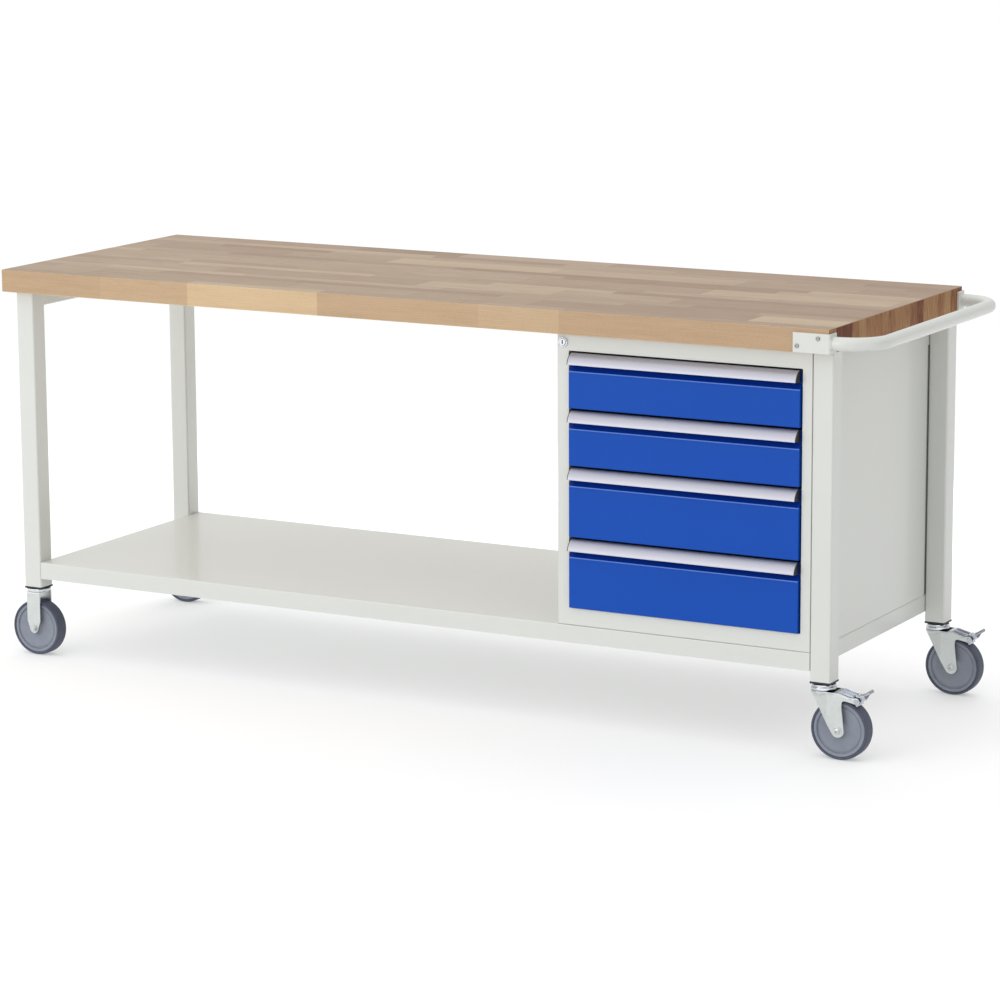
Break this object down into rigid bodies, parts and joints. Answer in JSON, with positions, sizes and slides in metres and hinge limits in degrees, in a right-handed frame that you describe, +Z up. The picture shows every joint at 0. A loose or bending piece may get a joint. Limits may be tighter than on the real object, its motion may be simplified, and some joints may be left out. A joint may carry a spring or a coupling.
{
  "type": "workbench with drawers",
  "caption": "Mobile workbench with a beech worktop, an open shelf, a lockable drawer cabinet, a push handle and braked castors.",
  "frame": {"origin": "on the floor, under the middle of the bench's outline", "axes": "+Z up, +X along the bench towards the push handle, -Y towards the drawer fronts"},
  "size_m": [2.124, 0.7086, 0.88],
  "materials": {
    "beech": "oiled glued beech staves, satin",
    "frame_paint": "light grey powder coat, fine texture, satin",
    "drawer_paint": "bright blue powder coat, satin",
    "handle_aluminium": "satin anodised extrusion",
    "zinc": "zinc plated pressed steel",
    "chrome": "bright plated steel",
    "black_plastic": "black moulded plastic",
    "hub_plastic": "grey moulded wheel centre",
    "tyre": "blue grey non marking rubber"
  },
  "bodies": {
    "bench": {"worktop": "beech", "leg_front_left": "frame_paint", "leg_plug_front_left": "black_plastic", "leg_front_right": "frame_paint", "leg_plug_front_right": "black_plastic", "leg_rear_left": "frame_paint", "leg_plug_rear_left": "black_plastic", "leg_rear_right": "frame_paint", "leg_plug_rear_right": "black_plastic", "top_rail_left": "frame_paint", "top_rail_rear": "frame_paint", "shelf": "frame_paint", "push_handle": "frame_paint", "cabinet_front_frame": "frame_paint", "cabinet_side_left": "frame_paint", "cabinet_side_right": "frame_paint", "cabinet_back": "frame_paint", "drawer_1_runner_left": "zinc", "drawer_1_runner_right": "zinc", "drawer_2_runner_left": "zinc", "drawer_2_runner_right": "zinc", "drawer_3_runner_left": "zinc", "drawer_3_runner_right": "zinc", "drawer_4_runner_left": "zinc", "drawer_4_runner_right": "zinc", "lock_barrel": "chrome", "fixed_fork_front_left": "zinc", "axle_front_left": "zinc", "fixed_fork_rear_left": "zinc", "axle_rear_left": "zinc", "swivel_head_front_right": "chrome", "swivel_head_rear_right": "chrome"},
    "drawer_1": {"drawer_1_tray": "frame_paint", "drawer_1_front": "drawer_paint", "drawer_1_handle": "handle_aluminium"},
    "drawer_2": {"drawer_2_tray": "frame_paint", "drawer_2_front": "drawer_paint", "drawer_2_handle": "handle_aluminium"},
    "drawer_3": {"drawer_3_tray": "frame_paint", "drawer_3_front": "drawer_paint", "drawer_3_handle": "handle_aluminium"},
    "drawer_4": {"drawer_4_tray": "frame_paint", "drawer_4_front": "drawer_paint", "drawer_4_handle": "handle_aluminium"},
    "lock_plug": {"lock_plug": "chrome"},
    "locking_bar": {"locking_bar": "zinc"},
    "wheel_front_left": {"wheel_hub_front_left": "hub_plastic", "tyre_front_left": "tyre"},
    "wheel_rear_left": {"wheel_hub_rear_left": "hub_plastic", "tyre_rear_left": "tyre"},
    "castor_front_right": {"swivel_fork_front_right": "zinc", "axle_front_right": "zinc"},
    "wheel_front_right": {"wheel_hub_front_right": "hub_plastic", "tyre_front_right": "tyre"},
    "pedal_front_right": {"brake_pedal_front_right": "chrome"},
    "castor_rear_right": {"swivel_fork_rear_right": "zinc", "axle_rear_right": "zinc"},
    "wheel_rear_right": {"wheel_hub_rear_right": "hub_plastic", "tyre_rear_right": "tyre"},
    "pedal_rear_right": {"brake_pedal_rear_right": "chrome"}
  },
  "joints": [
    {"name": "drawer_1_slide", "type": "slide", "parent": "bench", "child": "drawer_1", "axis": [0, -1, 0], "range_m": [0, 0.4]},
    {"name": "drawer_2_slide", "type": "slide", "parent": "bench", "child": "drawer_2", "axis": [0, -1, 0], "range_m": [0, 0.4]},
    {"name": "drawer_3_slide", "type": "slide", "parent": "bench", "child": "drawer_3", "axis": [0, -1, 0], "range_m": [0, 0.4]},
    {"name": "drawer_4_slide", "type": "slide", "parent": "bench", "child": "drawer_4", "axis": [0, -1, 0], "range_m": [0, 0.4]},
    {"name": "lock_turn", "type": "hinge", "parent": "bench", "child": "lock_plug", "pos_m": [0.354, -0.325, 0.811], "axis": [0, -1, 0], "range_deg": [0, 90]},
    {"name": "locking_bar_lift", "type": "slide", "parent": "bench", "child": "locking_bar", "axis": [0, 0, 1], "range_m": [0, 0.009]},
    {"name": "wheel_spin_front_left", "type": "hinge", "parent": "bench", "child": "wheel_front_left", "pos_m": [-0.9995, -0.3025, 0.0625], "axis": [0, 1, 0], "continuous": true},
    {"name": "wheel_spin_rear_left", "type": "hinge", "parent": "bench", "child": "wheel_rear_left", "pos_m": [-0.9995, 0.3025, 0.0625], "axis": [0, 1, 0], "continuous": true},
    {"name": "castor_swivel_front_right", "type": "hinge", "parent": "bench", "child": "castor_front_right", "pos_m": [0.9355, -0.3025, 0.14], "axis": [0, 0, 1], "continuous": true},
    {"name": "wheel_spin_front_right", "type": "hinge", "parent": "castor_front_right", "child": "wheel_front_right", "pos_m": [0.9755, -0.3025, 0.0625], "axis": [0, 1, 0], "continuous": true},
    {"name": "brake_pedal_press_front_right", "type": "hinge", "parent": "castor_front_right", "child": "pedal_front_right", "pos_m": [1.0155, -0.3025, 0.1275], "axis": [0, 1, 0], "range_deg": [0, 20]},
    {"name": "castor_swivel_rear_right", "type": "hinge", "parent": "bench", "child": "castor_rear_right", "pos_m": [0.9355, 0.3025, 0.14], "axis": [0, 0, 1], "continuous": true},
    {"name": "wheel_spin_rear_right", "type": "hinge", "parent": "castor_rear_right", "child": "wheel_rear_right", "pos_m": [0.9755, 0.3025, 0.0625], "axis": [0, 1, 0], "continuous": true},
    {"name": "brake_pedal_press_rear_right", "type": "hinge", "parent": "castor_rear_right", "child": "pedal_rear_right", "pos_m": [1.0155, 0.3025, 0.1275], "axis": [0, 1, 0], "range_deg": [0, 20]}
  ],
  "couplings": [
    {"joint": "lock_turn", "follows": "locking_bar_lift", "rad_per_m": 174.5}
  ]
}
